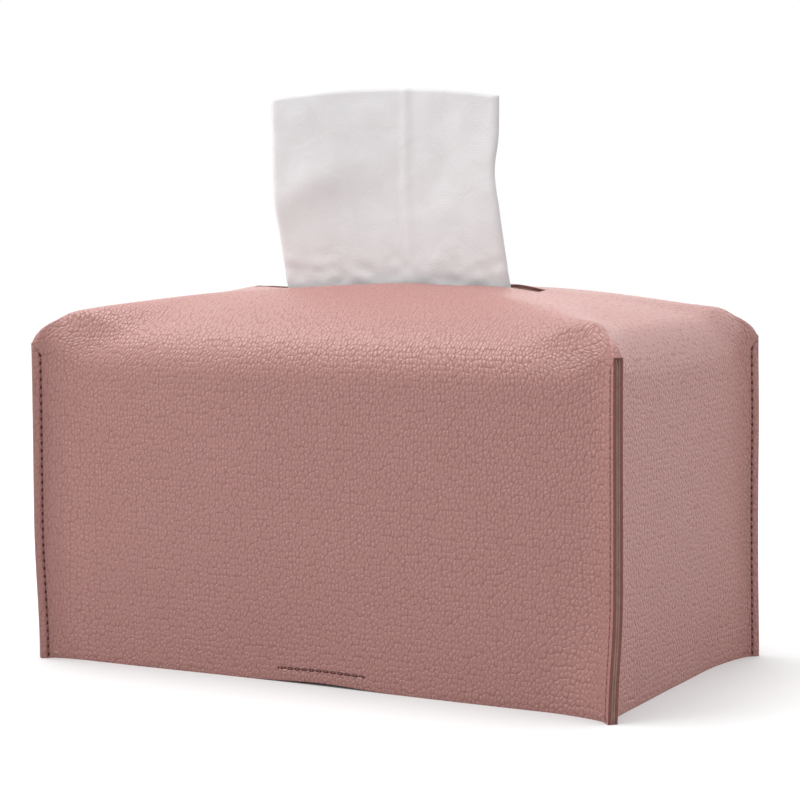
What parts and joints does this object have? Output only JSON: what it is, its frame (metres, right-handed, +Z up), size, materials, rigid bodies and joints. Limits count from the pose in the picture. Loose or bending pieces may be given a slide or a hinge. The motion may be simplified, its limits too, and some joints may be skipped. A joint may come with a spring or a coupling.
{
  "type": "tissue box cover",
  "caption": "Soft rectangular leather cover for a tissue carton, with a crowned top, a dispensing slot, outward corner seams, and belts that fasten under its open bottom.",
  "frame": {"origin": "on the floor under the middle of the cover", "axes": "+X along the front wall, to the right as seen from the front; +Y from front to back; +Z up"},
  "size_m": [0.251, 0.141, 0.2225],
  "materials": {
    "leather": "pebble grained, soft sheen",
    "lining": "short felt nap",
    "thread": "twisted polyester",
    "loop": "brushed loop pile",
    "hook": "moulded hook field",
    "tissue": "soft creped tissue"
  },
  "bodies": {
    "cover": {"leather_cover": "leather", "lining": "lining", "seam_stitches_front_left": "thread", "seam_stitches_front_right": "thread", "seam_stitches_back_left": "thread", "seam_stitches_back_right": "thread", "front_belt_tab": "leather", "front_belt_stitches": "thread", "back_belt_tab": "leather", "back_belt_stitches": "thread"},
    "front_belt": {"front_belt": "leather", "loop_pad": "loop", "loop_pad_stitches": "thread"},
    "back_belt": {"back_belt": "leather", "hook_pad": "hook", "hook_pad_stitches": "thread"},
    "tissue": {"tissue": "tissue"}
  },
  "joints": [
    {"name": "front_belt_fold", "type": "hinge", "parent": "cover", "child": "front_belt", "pos_m": [0.0028, -0.06415, 0], "axis": [-1, 0, 0], "range_deg": [0, 180]},
    {"name": "back_belt_fold", "type": "hinge", "parent": "cover", "child": "back_belt", "pos_m": [0.0028, 0.06415, 0], "axis": [1, 0, 0], "range_deg": [0, 108]},
    {"name": "tissue_pull", "type": "slide", "parent": "cover", "child": "tissue", "axis": [0, 0, 1], "range_m": [0, 0.12]}
  ],
  "couplings": [
    {"joint": "back_belt_fold", "follows": "front_belt_fold", "ratio": 0.6}
  ]
}
